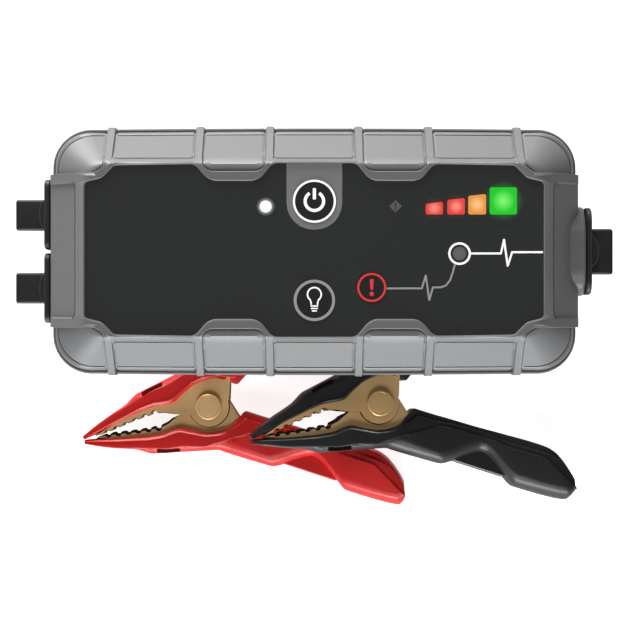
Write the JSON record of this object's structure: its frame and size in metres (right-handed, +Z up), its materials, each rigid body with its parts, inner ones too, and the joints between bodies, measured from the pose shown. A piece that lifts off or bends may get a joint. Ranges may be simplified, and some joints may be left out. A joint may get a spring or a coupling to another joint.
{
  "type": "jump starter pack",
  "caption": "Compact battery pack for starting a car: ribbed case with a lit control panel, covered ports at its ends, and two toothed spring clamps.",
  "frame": {"origin": "centre of the footprint, on the table that the clamps lie on", "axes": "+X along the case, towards the outlet; +Y across the case, away from the clamps; +Z up, out of the control panel"},
  "size_m": [0.1852, 0.1197, 0.0655],
  "materials": {
    "frame": "fine moulded grain, satin edges",
    "seal": "matt",
    "panel": "fine matt film",
    "inlay": "fine matt film",
    "key": "fine matt film, slightly domed",
    "lamp_white": "lit lens",
    "lamp_red": "lit lens",
    "lamp_orange": "lit lens",
    "lamp_green": "lit lens",
    "lamp_off": "unlit lens",
    "port_plastic": "plain moulding",
    "socket_steel": "pressed sheet",
    "cover_rubber": "matt, soft edges",
    "contact_brass": "turned",
    "board": "solder mask",
    "chip": "moulded",
    "screw_steel": "plated",
    "cell_foil": "foil pouch",
    "nickel": "strip",
    "grip_red": "satin moulding with fine grain",
    "grip_black": "satin moulding with fine grain",
    "jaw_gold": "satin plated sheet",
    "spring_steel": "drawn wire"
  },
  "bodies": {
    "pack": {"front_shell": "frame", "rear_shell": "frame", "case_gasket": "seal", "face_panel": "panel", "power_inlay": "inlay", "power_lamp": "lamp_white", "charge_lamp_1": "lamp_red", "charge_lamp_2": "lamp_red", "charge_lamp_3": "lamp_orange", "charge_lamp_4": "lamp_green", "boost_lamp": "lamp_off", "warning_lamp": "lamp_off", "usb_plate": "port_plastic", "usb_out_socket": "socket_steel", "usb_in_socket": "socket_steel", "outlet_bezel": "frame", "outlet_socket": "port_plastic", "outlet_contacts": "contact_brass", "circuit_board": "board", "board_parts": "chip", "key_switches": "socket_steel", "board_screws": "screw_steel", "battery_tray": "port_plastic", "cell_1": "cell_foil", "cell_2": "cell_foil", "cell_3": "cell_foil", "cell_links": "nickel", "case_screws": "screw_steel"},
    "power_button": {"power_key": "key"},
    "light_button": {"light_key": "key"},
    "override_button": {"override_key": "key"},
    "usb_out_lid": {"usb_out_cover": "cover_rubber"},
    "usb_in_lid": {"usb_in_cover": "cover_rubber"},
    "outlet_lid": {"outlet_cover": "cover_rubber"},
    "red_clamp": {"red_lower_grip": "grip_red", "red_lower_jaw": "jaw_gold", "red_rivet": "jaw_gold", "red_spring": "spring_steel"},
    "red_arm": {"red_upper_grip": "grip_red", "red_upper_jaw": "jaw_gold"},
    "black_clamp": {"black_lower_grip": "grip_black", "black_lower_jaw": "jaw_gold", "black_rivet": "jaw_gold", "black_spring": "spring_steel"},
    "black_arm": {"black_upper_grip": "grip_black", "black_upper_jaw": "jaw_gold"}
  },
  "joints": [
    {"name": "power_press", "type": "slide", "parent": "pack", "child": "power_button", "axis": [0, 0, -1], "range_m": [0, 0.0005], "stiffness_N_per_m": 3000},
    {"name": "light_press", "type": "slide", "parent": "pack", "child": "light_button", "axis": [0, 0, -1], "range_m": [0, 0.0005], "stiffness_N_per_m": 3000},
    {"name": "override_press", "type": "slide", "parent": "pack", "child": "override_button", "axis": [0, 0, -1], "range_m": [0, 0.0005], "stiffness_N_per_m": 3000},
    {"name": "usb_out_open", "type": "hinge", "parent": "pack", "child": "usb_out_lid", "pos_m": [-0.08221, 0.03254, 0.0365], "axis": [0, -1, 0], "range_deg": [0, 120]},
    {"name": "usb_in_open", "type": "hinge", "parent": "pack", "child": "usb_in_lid", "pos_m": [-0.08221, 0.00994, 0.0365], "axis": [0, -1, 0], "range_deg": [0, 120]},
    {"name": "outlet_open", "type": "hinge", "parent": "pack", "child": "outlet_lid", "pos_m": [0.08421, 0.02124, 0.034], "axis": [0, 1, 0], "range_deg": [0, 120]},
    {"name": "red_pull", "type": "slide", "parent": "pack", "child": "red_clamp", "axis": [-0.7071, -0.7071, 0], "range_m": [0, 0.09]},
    {"name": "red_squeeze", "type": "hinge", "parent": "red_clamp", "child": "red_arm", "pos_m": [-0.03415, -0.02815, 0.00675], "axis": [0.0401, 0.0108, -0.9991], "range_deg": [0, 24], "stiffness_Nm_per_rad": 0.8, "springref_deg": -20.05, "deforming": ["red_spring"]},
    {"name": "black_pull", "type": "slide", "parent": "pack", "child": "black_clamp", "axis": [1, 0, 0], "range_m": [0, 0.085]},
    {"name": "black_squeeze", "type": "hinge", "parent": "black_clamp", "child": "black_arm", "pos_m": [0.01997, -0.0268, 0.01928], "axis": [-0.1805, -0.0504, -0.9823], "range_deg": [0, 24], "stiffness_Nm_per_rad": 0.8, "springref_deg": -20.05, "deforming": ["black_spring"]}
  ]
}
